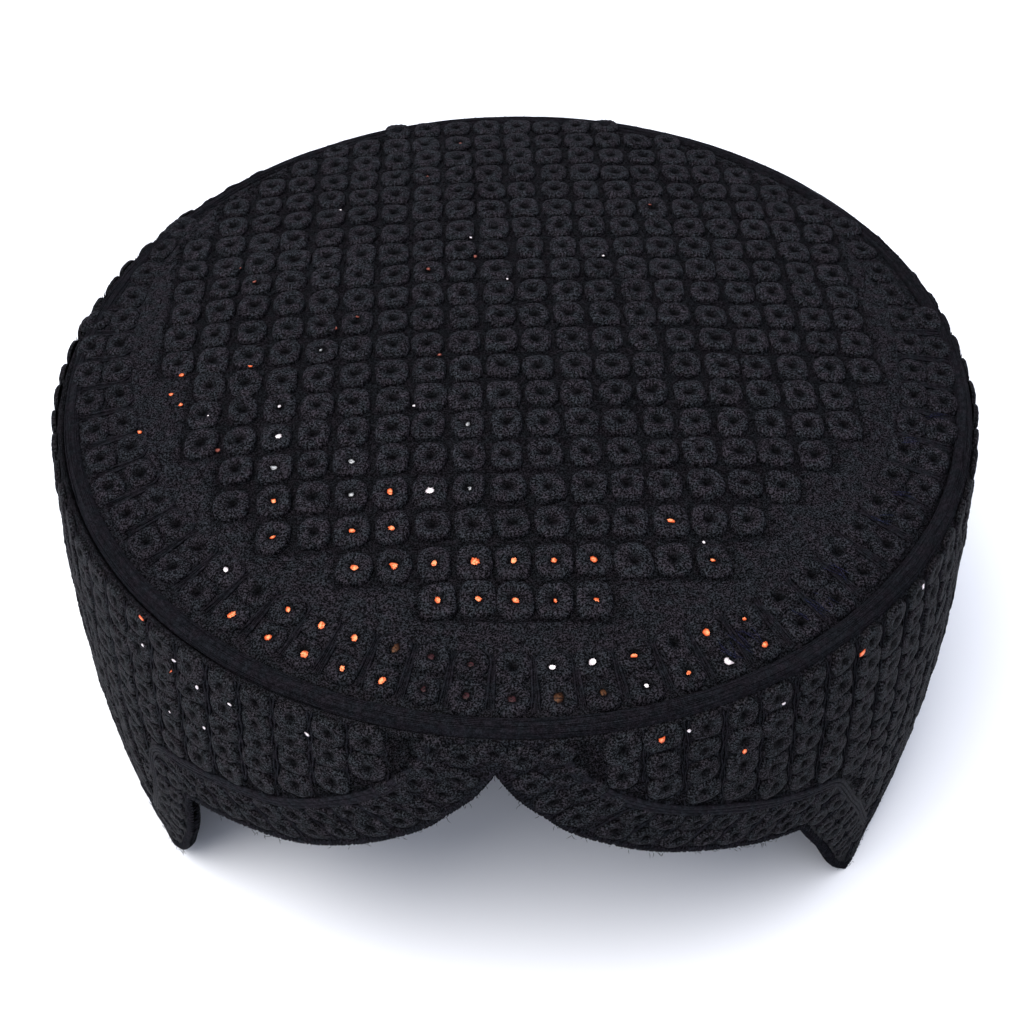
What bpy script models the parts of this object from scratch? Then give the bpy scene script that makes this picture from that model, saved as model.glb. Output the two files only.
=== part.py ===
"""A Sindhi cap: an oval, flat-topped cap of stiff embroidered cloth with a cusped arch over the forehead.

Metres, +Z up. The front faces -Y and the rim rests on z = 0. Angles are degrees round from the front.
"""
import math

import bmesh
import bpy

# Main sizes
RIM_HALF_WIDTH = 0.0941      # half the left-right width over the crown seam
OVAL = 1.06                  # front-back length for each unit of left-right width
CAP_HEIGHT = 0.0920          # rim to the middle of the crown
SEAM_HEIGHT = 0.0840         # rim to the middle of the crown piping
DOME_RISE = 0.0066           # how far the crown rises from its seam to its middle

# Cloth
CROWN_THICKNESS = 0.0028
WALL_THICKNESS = 0.0028
GAP = 0.0003                 # between neighbouring pieces

# Side wall
WALL_BULGE = 0.0030          # how far the wall swells out half way down
WALL_SPREAD = 0.0005         # how much wider the rim is than the seam
WALL_RIBS = 82               # columns of embroidery round the wall
RIB_DEPTH = 0.0008
RIB_FADE = 0.0040            # height over which a rib rises from the plain cloth at its two ends

# Trimming
PIPING_RADIUS = 0.0020
BINDING_HEIGHT = 0.0026
BINDING_WIDTH = 0.0030
BORDER_WIDTH = 0.0108        # lower edge to the middle of the border cord
CORD_HALF_WIDTH = 0.0011
CORD_RISE = 0.0009

STEP_ANGLE = 360.0 / (2 * WALL_RIBS)
APEX_ANGLE = 18 * STEP_ANGLE

# The lower edge of the front arch: angle round from the front, height over the rim
LOBE_EDGE = (
    (0.0, 0.0760),
    (5.0, 0.0668),
    (10.0, 0.0592),
    (16.0, 0.0526),
    (23.0, 0.0470),
    (31.0, 0.0424),
    (APEX_ANGLE, 0.0382),
)
HORN_EDGE = (
    (APEX_ANGLE, 0.0382),
    (40.8, 0.0270),
    (43.4, 0.0162),
    (46.8, 0.0066),
    (51.0, 0.0),
)

# The crown's outer face: radius at the seam's left-right axis, drop below the smooth dome
CROWN_STEPS = (
    (0.0, 0.0),
    (0.0240, 0.0),
    (0.0470, 0.0),
    (0.0695, 0.0),
    (0.0712, 0.0009),
    (0.0768, 0.0009),
    (0.0785, 0.0),
    (0.0878, 0.0),
    (0.0898, 0.0012),
)
CROWN_UNDERSIDE = (0.0898, 0.0600, 0.0300, 0.0)


def clear_scene():
    for obj in list(bpy.context.scene.objects):
        bpy.data.objects.remove(obj, do_unlink=True)


def cloth_material(name, colour, roughness):
    material = bpy.data.materials.new(name)
    material.use_nodes = True
    shader = material.node_tree.nodes["Principled BSDF"]
    shader.inputs["Base Color"].default_value = (*colour, 1.0)
    shader.inputs["Roughness"].default_value = roughness
    shader.inputs["Metallic"].default_value = 0.0
    return material


def slopes(table):
    """The slope of a smooth curve at each row of a table, from the rows on its two sides."""
    found = []
    for i in range(len(table)):
        before = table[max(i - 1, 0)]
        after = table[min(i + 1, len(table) - 1)]
        found.append((after[1] - before[1]) / (after[0] - before[0]))
    return found


def read_curve(table, x):
    """A smooth curve through a table's rows, read at x."""
    rates = slopes(table)
    for i in range(len(table) - 1):
        x0, y0 = table[i]
        x1, y1 = table[i + 1]
        if x <= x1:
            span = x1 - x0
            t = (x - x0) / span
            rise = y1 - y0
            start = rates[i] * span
            end = rates[i + 1] * span
            return y0 + t * (start + t * (3 * rise - 2 * start - end + t * (start + end - 2 * rise)))
    return table[-1][1]


def edge_height(angle):
    """Height of the cap's lower edge at an angle round from the front."""
    turned = abs((angle + 180.0) % 360.0 - 180.0)
    if turned <= APEX_ANGLE:
        return read_curve(LOBE_EDGE, turned)
    if turned < HORN_EDGE[-1][0]:
        return max(0.0, read_curve(HORN_EDGE, turned))
    return 0.0


def parallel_height(angle, distance, samples=24):
    """Height of the line that runs on the wall at one distance from the lower edge."""
    reach = math.degrees(distance / RIM_HALF_WIDTH)
    best = 0.0
    for i in range(-samples, samples + 1):
        share = i / samples
        rise = distance * math.sqrt(1.0 - share * share)
        best = max(best, edge_height(angle + share * reach) + rise)
    return best


def wall_radius(height):
    """Half width of the wall's outer face at a height, over its ribs."""
    t = 1.0 - height / SEAM_HEIGHT
    return RIM_HALF_WIDTH + WALL_SPREAD * t + 4.0 * WALL_BULGE * t * (1.0 - t)


def oval_point(radius, angle, height):
    turn = math.radians(angle)
    return (radius * math.sin(turn), -radius * OVAL * math.cos(turn), height)


def make_object(name, mesh, material, collection):
    obj = bpy.data.objects.new(name, mesh)
    obj.data.materials.append(material)
    collection.objects.link(obj)
    return obj


def loft(name, sections, closed, material, collection):
    """A solid through sections of equal point counts, joined end to end or with a cap at each end."""
    mesh = bpy.data.meshes.new(name)
    work = bmesh.new()
    rings = [[work.verts.new(point) for point in section] for section in sections]
    size = len(rings[0])
    spans = len(rings) if closed else len(rings) - 1
    for i in range(spans):
        here = rings[i]
        there = rings[(i + 1) % len(rings)]
        for j in range(size):
            k = (j + 1) % size
            work.faces.new((here[j], here[k], there[k], there[j]))
    if not closed:
        work.faces.new(rings[0])
        work.faces.new(rings[-1][::-1])
    bmesh.ops.recalc_face_normals(work, faces=work.faces)
    bmesh.ops.triangulate(work, faces=work.faces)
    work.to_mesh(mesh)
    work.free()
    return make_object(name, mesh, material, collection)


def shade_round(obj, angle):
    obj.data.shade_smooth()
    obj.data.set_sharp_from_angle(angle=math.radians(angle))


def dome_height(radius):
    return CAP_HEIGHT - DOME_RISE * (radius / RIM_HALF_WIDTH) ** 2


def make_crown(material, collection):
    """The top panel, a turned profile stretched to the oval."""
    profile = [(radius, dome_height(radius) - drop) for radius, drop in CROWN_STEPS]
    profile += [(radius, dome_height(radius) - CROWN_THICKNESS - GAP) for radius in CROWN_UNDERSIDE]
    points = [(radius, 0.0, height) for radius, height in profile]
    mesh = bpy.data.meshes.new("crown")
    mesh.from_pydata(points, [(i, i + 1) for i in range(len(points) - 1)], [])
    crown = make_object("crown", mesh, material, collection)
    turn = crown.modifiers.new("turn", "SCREW")
    turn.steps = WALL_RIBS
    turn.render_steps = WALL_RIBS
    turn.use_merge_vertices = True
    turn.merge_threshold = 0.00005
    turn.use_smooth_shade = True
    crown.scale = (1.0, OVAL, 1.0)


def make_piping(material, collection):
    """The corded seam, an oval ring of round section that lies between crown and wall."""
    bpy.ops.mesh.primitive_torus_add(
        location=(0.0, 0.0, SEAM_HEIGHT),
        major_radius=RIM_HALF_WIDTH - PIPING_RADIUS,
        minor_radius=PIPING_RADIUS,
        major_segments=WALL_RIBS,
        minor_segments=8,
    )
    piping = bpy.context.object
    piping.name = "crown_piping"
    piping.data.name = "crown_piping"
    piping.scale = (1.0, OVAL, 1.0)
    piping.data.materials.append(material)
    for owner in list(piping.users_collection):
        owner.objects.unlink(piping)
    collection.objects.link(piping)
    piping.data.shade_smooth()


def wall_top():
    return SEAM_HEIGHT - PIPING_RADIUS - GAP


def wall_section(index):
    """One upright slice of the wall: up its outer face and down its inner face."""
    angle = index * STEP_ANGLE
    top = wall_top()
    foot = parallel_height(angle, BINDING_HEIGHT + 2 * GAP)
    least = (top - foot) / 6.0
    beside = [parallel_height(angle + side * STEP_ANGLE, BORDER_WIDTH) for side in (-1, 0, 1)]
    over_cord = max(beside) + 2 * CORD_HALF_WIDTH
    rib_start = min(over_cord, top - 4 * least)
    rib_full = min(rib_start + RIB_FADE, top - 3 * least)
    rib_end = max(top - RIB_FADE, rib_full + 2 * least)
    has_rib = index % 2 == 0 and over_cord < top - 4 * least
    face = 0.0 if has_rib else RIB_DEPTH
    outer = (
        (foot, RIB_DEPTH),
        (rib_start, RIB_DEPTH),
        (rib_full, face),
        ((rib_full + rib_end) / 2, face),
        (rib_end, face),
        (top, RIB_DEPTH),
    )
    points = [oval_point(wall_radius(height) - drop, angle, height) for height, drop in outer]
    for height in (top, (top + foot) / 2, foot):
        points.append(oval_point(wall_radius(height) - WALL_THICKNESS, angle, height))
    return points


def make_wall(material, collection):
    sections = [wall_section(i) for i in range(2 * WALL_RIBS)]
    return loft("side_wall", sections, True, material, collection)


def binding_section(index):
    """One upright slice of the binding: flat underneath and inside, rounded outside."""
    angle = index * STEP_ANGLE
    low = edge_height(angle)
    high = parallel_height(angle, BINDING_HEIGHT)
    chamfer = (high - low) / 4.0
    outer = wall_radius(low)
    inner = outer - BINDING_WIDTH
    return [
        oval_point(inner, angle, low),
        oval_point(outer - BINDING_WIDTH / 6, angle, low),
        oval_point(outer, angle, low + chamfer),
        oval_point(wall_radius(high) - RIB_DEPTH / 2, angle, high),
        oval_point(wall_radius(high) - BINDING_WIDTH, angle, high),
    ]


def make_binding(material, collection):
    sections = [binding_section(i) for i in range(2 * WALL_RIBS)]
    return loft("edge_binding", sections, True, material, collection)


def cord_section(index):
    """One upright slice of the border cord, which lies on the plain cloth of the wall."""
    angle = index * STEP_ANGLE
    low = parallel_height(angle, BORDER_WIDTH - CORD_HALF_WIDTH)
    high = min(parallel_height(angle, BORDER_WIDTH + CORD_HALF_WIDTH), wall_top() - GAP)
    seat = GAP - RIB_DEPTH
    crest = seat + CORD_RISE
    inset = (high - low) / 4.0
    return [
        oval_point(wall_radius(low) + seat, angle, low),
        oval_point(wall_radius(low + inset) + crest, angle, low + inset),
        oval_point(wall_radius(high - inset) + crest, angle, high - inset),
        oval_point(wall_radius(high) + seat, angle, high),
    ]


def make_border_cord(material, collection):
    """The cord runs from the seam on one side of the arch, round the back, to the seam on the other."""
    first = 0
    while parallel_height(first * STEP_ANGLE, BORDER_WIDTH) > wall_top() - GAP:
        first += 1
    sections = [cord_section(i) for i in range(first, 2 * WALL_RIBS - first + 1)]
    return loft("border_cord", sections, False, material, collection)


def build():
    clear_scene()
    collection = bpy.data.collections.new("sindhi_cap")
    bpy.context.scene.collection.children.link(collection)
    embroidery = cloth_material("black_embroidery", (0.014, 0.014, 0.017), 0.85)
    trimming = cloth_material("black_trimming", (0.012, 0.012, 0.016), 0.7)
    make_crown(embroidery, collection)
    make_piping(trimming, collection)
    shade_round(make_wall(embroidery, collection), 40)
    shade_round(make_border_cord(trimming, collection), 50)
    shade_round(make_binding(trimming, collection), 50)


build()
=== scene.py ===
"""The looks of a black Sindhi cap: raised thread eyelets, mirror chips, cords and a bound, cusped edge.

Metres, +Z up. The front faces -Y. Angles are degrees round from the front, positive to the right.
"""
import math

import bmesh
import bpy
import numpy as np
from mathutils import Matrix, Vector


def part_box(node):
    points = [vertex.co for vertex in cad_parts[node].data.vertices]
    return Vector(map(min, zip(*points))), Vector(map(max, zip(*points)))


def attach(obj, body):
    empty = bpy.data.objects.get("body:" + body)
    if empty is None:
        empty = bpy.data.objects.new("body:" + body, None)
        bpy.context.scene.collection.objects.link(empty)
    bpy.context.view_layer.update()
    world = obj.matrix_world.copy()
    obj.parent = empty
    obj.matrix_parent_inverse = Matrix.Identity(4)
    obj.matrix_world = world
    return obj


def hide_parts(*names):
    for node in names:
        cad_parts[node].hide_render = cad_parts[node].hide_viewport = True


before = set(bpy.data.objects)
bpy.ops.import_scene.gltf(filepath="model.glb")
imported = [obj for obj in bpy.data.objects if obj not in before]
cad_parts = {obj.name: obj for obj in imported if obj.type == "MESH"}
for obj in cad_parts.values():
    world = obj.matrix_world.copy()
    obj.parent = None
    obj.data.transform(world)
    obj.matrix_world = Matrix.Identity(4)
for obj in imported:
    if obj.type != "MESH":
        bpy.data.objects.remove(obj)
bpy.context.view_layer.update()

MM = 0.001
TURN = 2.0 * math.pi
random = np.random.default_rng(47)

# Main sizes, from the frame where a node shows them
PIPING_LOW, PIPING_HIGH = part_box("crown_piping")
RIM_HALF_WIDTH = PIPING_HIGH[0]
SEAM_HEIGHT = (PIPING_HIGH[2] + PIPING_LOW[2]) / 2
CAP_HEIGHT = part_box("crown")[1][2]
OVAL = 1.06  # front-back length for each unit of left-right width
DOME_RISE = 6.6 * MM  # seam level to the middle of the crown
WALL_BULGE = 3.0 * MM
WALL_SPREAD = 0.5 * MM
WALL_COLUMNS = 82
COLUMN_ANGLE = 360.0 / WALL_COLUMNS
COLUMN_SHIFT = 0.5  # the columns lie this much further left, in degrees
WALL_THICKNESS = 2.8 * MM
CROWN_THICKNESS = 3.0 * MM

# The lower edge of the front arch: angle from the cusp, height over the rim in mm. The two sides of the
# sewn edge differ a little.
CUSP_EDGE = (
    (0.0, 76.3), (1.0, 73.5), (2.2, 70.5), (3.6, 67.9), (5.0, 65.6), (7.0, 62.0), (10.0, 58.3), (16.0, 52.2),
    (23.0, 46.8),
)
LEFT_LOBE = CUSP_EDGE + ((31.0, 43.1), (39.5, 39.0))
LEFT_HORN = ((39.5, 39.0), (40.8, 27.0), (43.4, 16.2), (46.5, 6.2), (50.0, 0.0))
RIGHT_LOBE = CUSP_EDGE + ((31.0, 40.9), (35.9, 37.8))
RIGHT_HORN = ((35.9, 37.8), (38.7, 29.0), (41.3, 21.5), (43.5, 14.4), (46.4, 5.2), (48.9, 0.0))
HORN_TIP = 49.0
CUSP_ANGLE = -0.6  # the cusp lies a little left of the middle
CUSP_REACH = 14.0  # how far round the edge follows it

# The inner one of the band's two rows of eyelets, as a half width by angle. Behind the cap's middle it
# spreads out, and the field runs on to the back edge.
BAND_RADIUS = (
    (-180.0, 105.0), (-122.0, 90.0), (-108.0, 87.0), (-98.0, 84.5), (-87.0, 82.3), (-75.0, 80.3),
    (-54.0, 79.0), (-35.0, 78.6), (-15.0, 79.4), (0.0, 80.5), (30.0, 80.6), (55.0, 80.3), (75.0, 81.2),
    (90.0, 82.2), (101.0, 84.0), (115.0, 86.0), (124.0, 89.0), (180.0, 105.0),
)
BAND_STEP = 6.1 * MM  # from the band's inner row to its outer row
RING_OUTER_STEP = 3.2 * MM  # from the band's inner row in to the ring's outer edge
RING_INNER_STEP = 10.6 * MM  # from the band's inner row in to the ring's inner edge
CLOTH_EDGE = 90.3 * MM
BAND_LIMIT = 90.6 * MM  # no eyelet of the band lies further out than this
FRONT_PAIRS = 6  # pairs each side of the first one that lie closer together
FRONT_PAIR_ANGLE = 5.0
SIDE_PAIR_ANGLE = 5.66
SIDE_PAIRS = 52
FIRST_PAIR = 1.2  # angle of the pair that is nearest the middle of the front
# Loose blue strands over the band: angle from the front, half width in mm
BLUE_THREADS = (
    (27.3, 85.1), (28.8, 84.8), (30.3, 84.1), (37.9, 85.7), (39.6, 85.7), (41.7, 86.5), (45.4, 83.2),
    (57.2, 82.8), (62.4, 83.8), (72.3, 81.4), (78.8, 86.4),
)

# The field of eyelets: its first and last column in each row, from the front row back
FIELD_ROWS = (
    (-2, 2), (-4, 5), (-6, 6), (-7, 7), (-7, 8), (-8, 9), (-8, 9), (-8, 10), (-9, 10), (-9, 10),
    (-9, 10), (-9, 10), (-9, 10), (-9, 10), (-8, 10), (-8, 9), (-7, 8), (-6, 7), (-5, 6), (-3, 4),
)
FIELD_COLUMN = 7.42 * MM
FIELD_ROW = 8.50 * MM
FIELD_TURN = math.radians(3.86)
FIELD_SHIFT = (0.75 * MM, 2.70 * MM)
MIDDLE_COLUMN = 0.5
MIDDLE_ROW = 8.5
SPREAD_ROWS = 4  # the front rows that lie a little further apart, with closer columns
ROW_SPREAD = 0.19 * MM
COLUMN_SQUEEZE = 0.03 * MM
STRAIGHT_ROWS = 2  # the first rows, which are turned less than the others
STRAIGHT_LIFT = 0.34 * MM
STRAIGHT_TILT = 0.0125

# Levels of the crown's cloth below the smooth dome over its eyelets
EYELET_RISE = 1.45 * MM
GROUND_DROP = 1.15 * MM  # between the field's eyelets
FILL_DROP = 0.40 * MM  # in the ring and in the corners beside the field
BAND_DROP = 0.82 * MM  # between the band's eyelets
GROOVE_DROP = 1.45 * MM  # beside the piping
# Share of the thread's tone that each shows: painted shade, darkest between the field's eyelets and in the
# groove beside the piping
GROUND_SHADE_TONE = 0.42
FILL_SHADE_TONE = 1.0
BAND_SHADE_TONE = 0.72
GROOVE_SHADE_TONE = 0.50

# The piping as it shows, a little slimmer than the ring it is worked round
CORD_RADIUS = 1.72 * MM
CORD_CENTRE = 91.2 * MM
CORD_SHIFT = 0.7 * MM  # the crown sits this much to the right

# The border strip along the lower edge, as distances from that edge
BINDING_WIDTH = 1.5 * MM
BORDER_OUTER = 3.9 * MM
BORDER_INNER = 8.1 * MM
BORDER_CORDS = (10.2 * MM, 10.9 * MM, 11.6 * MM)
CORD_GROOVE = 12.5 * MM  # a groove over them
CORD_TURN = 8.9  # angle from the cusp within which the cords turn up
CORD_LIFT = 0.83 * MM  # how fast they do
BORDER_PITCH = 6.4 * MM
COLUMN_HEAD = 83.6 * MM  # height at which the wall's columns of eyelets start
WALL_ROW = 5.45 * MM
WALL_RISE = 0.95 * MM
WALL_GROUND = -0.72 * MM  # the cloth between the columns
BORDER_GROUND = -0.60 * MM  # the cloth between the border's eyelets
WALL_FILL = -0.32 * MM  # the worked cloth beside the cusp and under the columns
SHOULDER = 1.1 * MM  # how far the wall swells out beside the piping, at the cap's two sides
SHOULDER_FADE = 14.0 * MM
HORN_FLARE = (0.4 * MM, 2.1 * MM)  # how far the tip of the left and of the right horn stands out
FLARE_ANGLE = 5.5  # how far round and how far up that fades
FLARE_HEIGHT = 7.0 * MM

# Eyelets: half width, half height and hole. The band's are as wide as this share of their pair, and the
# wall's as high as this share of their row.
FIELD_EYELET = (3.36 * MM, 3.86 * MM, 0.74 * MM)
BAND_EYELET = (0.445, 3.12 * MM, 0.70 * MM)
WALL_EYELET = (3.26 * MM, 0.515, 0.58 * MM)
BORDER_EYELET = (2.95 * MM, 2.32 * MM, 0.48 * MM)
CUSP_EYELET_HEIGHT = 2.62 * MM
CROWN_AROUND = 38  # points round an eyelet
WALL_AROUND = 22
BORDER_AROUND = 24

# Radius of the threads of each piece, in mm
THREAD_RADIUS = {
    "band_outlines": 0.28, "band_dividers": 0.14, "ring_fill": 0.14, "blue_threads": 0.08,
    "piping_threads": 0.11, "column_cords": 0.24, "wall_fill": 0.14, "border_outlines": 0.26,
    "border_cords": 0.46, "binding_stitches": 0.22, "loose_fibres": 0.045,
}
FILL_STITCH = 1.8 * MM  # length of the fill's short stitches
CROWN_STITCHES = 29000  # how many are tried over the crown and on the wall
WALL_STITCHES = 17000
STITCH_STEP = 0.66 * MM  # along the bound edge


# Shape of the cap
def read_curve(table, x):
    """A smooth curve through a table's rows, read at each x."""
    place, value = np.array(table).T
    wide, high = np.pad(place, 1, "edge"), np.pad(value, 1, "edge")
    slope = (high[2:] - high[:-2]) / (wide[2:] - wide[:-2])
    i = np.clip(np.searchsorted(place, x) - 1, 0, len(place) - 2)
    span = place[i + 1] - place[i]
    t = (x - place[i]) / span
    rise = value[i + 1] - value[i]
    start = slope[i] * span
    end = slope[i + 1] * span
    return value[i] + t * (start + t * (3 * rise - 2 * start - end + t * (start + end - 2 * rise)))


def edge_height(angle):
    """Height of the cap's lower edge."""
    turned = np.abs(angle - CUSP_ANGLE * np.exp(-(angle / CUSP_REACH) ** 2))
    sides = []
    for lobe, horn in ((LEFT_LOBE, LEFT_HORN), (RIGHT_LOBE, RIGHT_HORN)):
        zones = [turned <= horn[0][0], turned < horn[-1][0]]
        heights = [read_curve(lobe, turned), np.maximum(0.0, read_curve(horn, turned))]
        sides.append(np.select(zones, heights, 0.0))
    return np.where(angle < 0.0, *sides) * MM


ANGLES = np.linspace(-180.0, 180.0, 3601)
EDGE = edge_height(ANGLES)
LINES = {}


def wrapped(angle):
    """An angle brought into -180 to 180 degrees."""
    return (np.asarray(angle, float) + 180.0) % 360.0 - 180.0


def line_height(distance, angle):
    """Height of the line on the wall that runs at one distance from the lower edge."""
    if distance not in LINES:
        step = ANGLES[1] - ANGLES[0]
        reach = math.degrees(distance / RIM_HALF_WIDTH)
        best = EDGE + distance
        for i in range(-int(reach / step), int(reach / step) + 1):
            share = i * step / reach
            best = np.maximum(best, np.roll(EDGE, i) + distance * math.sqrt(1.0 - share * share))
        LINES[distance] = best
    return np.interp(wrapped(angle), ANGLES, LINES[distance])


def cord_height(distance, angle):
    """Height of one of the border's laid cords, which turn up into the seam beside the cusp."""
    near = np.maximum(0.0, CORD_TURN - np.abs(np.asarray(angle, float) - CUSP_ANGLE))
    return line_height(distance, angle) + CORD_LIFT * near ** 2


def wall_radius(height):
    t = 1.0 - height / SEAM_HEIGHT
    return RIM_HALF_WIDTH + WALL_SPREAD * t + 4.0 * WALL_BULGE * t * (1.0 - t)


def oval_place(radius, angle):
    """x and y of a place on the oval with this half width."""
    turn = np.radians(angle)
    return radius * np.sin(turn), -radius * OVAL * np.cos(turn)


def oval_point(radius, angle, height):
    return np.stack(np.broadcast_arrays(*oval_place(radius, angle), height), axis=-1)


def arc_rate(angle):
    """Metres of wall for each degree round it."""
    turn = np.radians(angle)
    return np.radians(RIM_HALF_WIDTH) * np.sqrt(np.cos(turn) ** 2 + (OVAL * np.sin(turn)) ** 2)


def wall_point(angle, height, lift):
    swell = np.sin(np.radians(angle)) ** 2 * np.exp(-np.abs(SEAM_HEIGHT - height) / SHOULDER_FADE)
    flare = np.where(angle < 0.0, *HORN_FLARE)
    beside = (np.abs(angle) - HORN_TIP) / FLARE_ANGLE
    flare = flare * np.exp(-beside ** 2 - np.abs(height) / FLARE_HEIGHT)
    return oval_point(wall_radius(height) + SHOULDER * swell + flare + lift, angle, height)


def wall_patch(angle, height, u, v, lift):
    """A point on the wall beside another: u runs round the wall and v up it."""
    return wall_point(angle + u / arc_rate(angle), height + v, lift)


def crown_point(x, y, lift):
    dome = CAP_HEIGHT - DOME_RISE * (x ** 2 + (y / OVAL) ** 2) / RIM_HALF_WIDTH ** 2
    return np.stack(np.broadcast_arrays(x, y, dome + lift), axis=-1)


def piping_point(angle, round_turn, lift):
    """A point on the piping: round_turn is 0 outwards and 90 degrees upwards."""
    reach = CORD_RADIUS + lift
    turn = np.radians(round_turn)
    points = oval_point(CORD_CENTRE + reach * np.cos(turn), angle, SEAM_HEIGHT + reach * np.sin(turn))
    return points + np.array([CORD_SHIFT, 0.0, 0.0])


def band_radius(angle):
    """Half width at which the inner row of the band lies."""
    return np.interp(wrapped(angle), *np.array(BAND_RADIUS).T) * MM


# Meshes
UP = np.array([0.0, 0.0, 1.0])
END_SHARE = 0.05  # what is left of a thread's radius at its ends


def show(name, data):
    """A new object in the scene."""
    made = bpy.data.objects.new(name, data)
    bpy.context.scene.collection.objects.link(made)
    return made


def jitter(amount, *shape):
    return random.normal(0.0, amount, shape)


def evenly(low, high, *shape):
    return random.uniform(low, high, shape)


def circle(count, start=0.0, turn=TURN):
    """Evenly spaced angles once round, as a column."""
    return np.linspace(start, start + turn, count, endpoint=False)[:, None]


def deep(values):
    """One value for each eyelet or chip, shaped to go with the grids of their points."""
    return values[:, None, None]


def turned(along, across, turn):
    return along * np.cos(turn) - across * np.sin(turn), along * np.sin(turn) + across * np.cos(turn)


def grid_piece(name, points, material, tone_and_shade=None, along=None):
    """One mesh of many closed grids. points is (grids, around, rows, 3). The tone given for each grid or each
    point is random by default, and where it is given it also carries painted shade. The stitch map holds the
    share round the grid and the row's share, or its place along."""
    grids, around, rows, _ = points.shape
    mesh = bpy.data.meshes.new(name)
    g, i, j = np.meshgrid(np.arange(grids), np.arange(around), np.arange(rows - 1), indexing="ij")
    corners = ((0, 0), (1, 0), (1, 1), (0, 1))
    index = [(g * around + (i + di) % around) * rows + j + dj for di, dj in corners]
    faces = np.stack(index, axis=-1).reshape(-1, 4)
    mesh.from_pydata(points.reshape(-1, 3).tolist(), [], faces.tolist())
    if along is None:
        along = np.linspace(0.0, 1.0, rows)[None, :].repeat(grids, axis=0)
    uv = [np.stack([(i + di) / around, along[g, j + dj]], axis=-1) for di, dj in corners]
    layer = mesh.uv_layers.new(name="stitch")
    layer.uv.foreach_set("vector", np.stack(uv, axis=-2).astype(np.float32).ravel())
    if tone_and_shade is None:
        tone_and_shade = evenly(0.0, 1.0, grids)
    if np.ndim(tone_and_shade) == 1:
        tone_and_shade = np.repeat(tone_and_shade, around * rows)
    attribute = mesh.attributes.new("tone_and_shade", "FLOAT", "POINT")
    attribute.data.foreach_set("value", tone_and_shade.astype(np.float32).ravel())
    mesh.materials.append(material)
    mesh.shade_smooth()
    piece = show(name, mesh)
    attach(piece, "root")
    return piece


def unit(vectors):
    return vectors / np.maximum(np.linalg.norm(vectors, axis=-1, keepdims=True), 1e-12)


def tube_piece(name, paths, material, outward=None, sides=3, tone_and_shade=None):
    """Tubes of thread or cord round paths of shape (tubes, sections, 3), drawn in at both ends. Their
    outside faces away from the wall unless outward is given."""
    if outward is None:
        outward = unit(paths * np.array([1.0, 1.0 / OVAL ** 2, 0.0]))
    reach = np.full(paths.shape[:2], THREAD_RADIUS[name] * MM)
    reach[:, [0, -1]] *= END_SHARE
    tangent = unit(np.gradient(paths, axis=1))
    side = unit(np.cross(tangent, outward))
    up = np.cross(side, tangent)
    turns = circle(sides)[:, :, None]
    section = np.cos(turns) * side[:, None] + np.sin(turns) * up[:, None]
    steps = np.linalg.norm(np.diff(paths, axis=1), axis=-1)
    along = np.concatenate([np.zeros((len(paths), 1)), np.cumsum(steps, axis=1)], axis=1)
    points = paths[:, None] + reach[:, None, :, None] * section
    return grid_piece(name, points, material, tone_and_shade, along)


def arch(foot, spring, rise, straight, curve):
    """An outline up one side, round an arch and down the other: place across, from -1 to 1, and along."""
    bend = np.radians(np.linspace(-90.0, 90.0, curve))
    run = np.linspace(foot, spring, straight + 1)[:-1]
    across = np.concatenate([np.full(straight, -1.0), np.sin(bend), np.full(straight, 1.0)])
    along = np.concatenate([run, spring + rise * np.cos(bend), run[::-1]])
    return across, along


# Eyelets
# Rows of an eyelet from its foot to its hole's floor: share of the way in, of its rise and of its tone. The
# tone is painted shade, dark at the foot and deepest in the hole.
EYELET_PROFILE = (
    (-0.02, -0.15, 0.36), (0.00, 0.50, 0.70), (0.10, 0.83, 0.95), (0.30, 0.97, 1.0), (0.66, 1.00, 1.0),
    (0.98, 0.72, 0.26), (1.25, 0.46, 0.05),
)
HOLE_FLOOR = 0.06  # radius at which the hole's floor ends, as a share of the hole


def eyelet_piece(name, points, material):
    """Eyelets as one piece, each in its own tone, with painted shade at the foot and in the hole."""
    tone_and_shade = evenly(0.88, 1.0, len(points), 1, 1) * np.array(EYELET_PROFILE)[:, 2]
    return grid_piece(name, points, material, tone_and_shade=np.broadcast_to(tone_and_shade, points.shape[:3]))


def eyelet_shapes(count, half_width, half_height, hole, rise, around, corner=2.9):
    """Worked eyelets in their own flat space: across, along and up, each (count, around, rows)."""
    def vary(amount, each=1):
        return jitter(amount, count, each, 1)

    turns = circle(around)
    share, level, _ = np.array(EYELET_PROFILE).T
    wide = half_width * (1.0 + vary(0.042))
    tall = half_height * (1.0 + vary(0.042))
    power = corner + vary(0.35)
    cos = np.abs(np.cos(turns)) / wide
    sin = np.abs(np.sin(turns)) / tall
    outer = (cos ** power + sin ** power) ** (-1.0 / power)
    phase = evenly(0.0, TURN, 2, count, 1, 1)
    outer = outer * (1.0 + 0.022 * np.cos(2 * turns + phase[0]) + 0.018 * np.cos(3 * turns + phase[1]))
    outer = outer * (1.0 + vary(0.012, around))
    inner = hole * (1.0 + vary(0.13)) * (1.0 + 0.16 * np.cos(2 * turns + phase[1]))
    inner = inner * (1.0 + vary(0.05, around))
    reach = outer * (1.0 - share) + inner * share
    reach[:, :, -1:] = HOLE_FLOOR * inner
    spin = turns + 0.10 * share * random.choice((-1.0, 1.0), (count, 1, 1))
    offset = jitter(0.10 * MM, 2, count, 1, 1) * share
    u = reach * np.cos(spin) + offset[0]
    v = reach * np.sin(spin) + offset[1]
    ridge = 0.030 * np.where(np.arange(around) % 2 == 0, 1.0, -1.0)[:, None]
    uneven = vary(0.030, around)
    height = level * (1.0 + np.where(level > 0.2, ridge + uneven, 0.0))
    w = rise * (1.0 + vary(0.05)) * height + u * vary(0.04) + v * vary(0.04)
    return *turned(u, v, vary(0.07)), w


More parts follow.
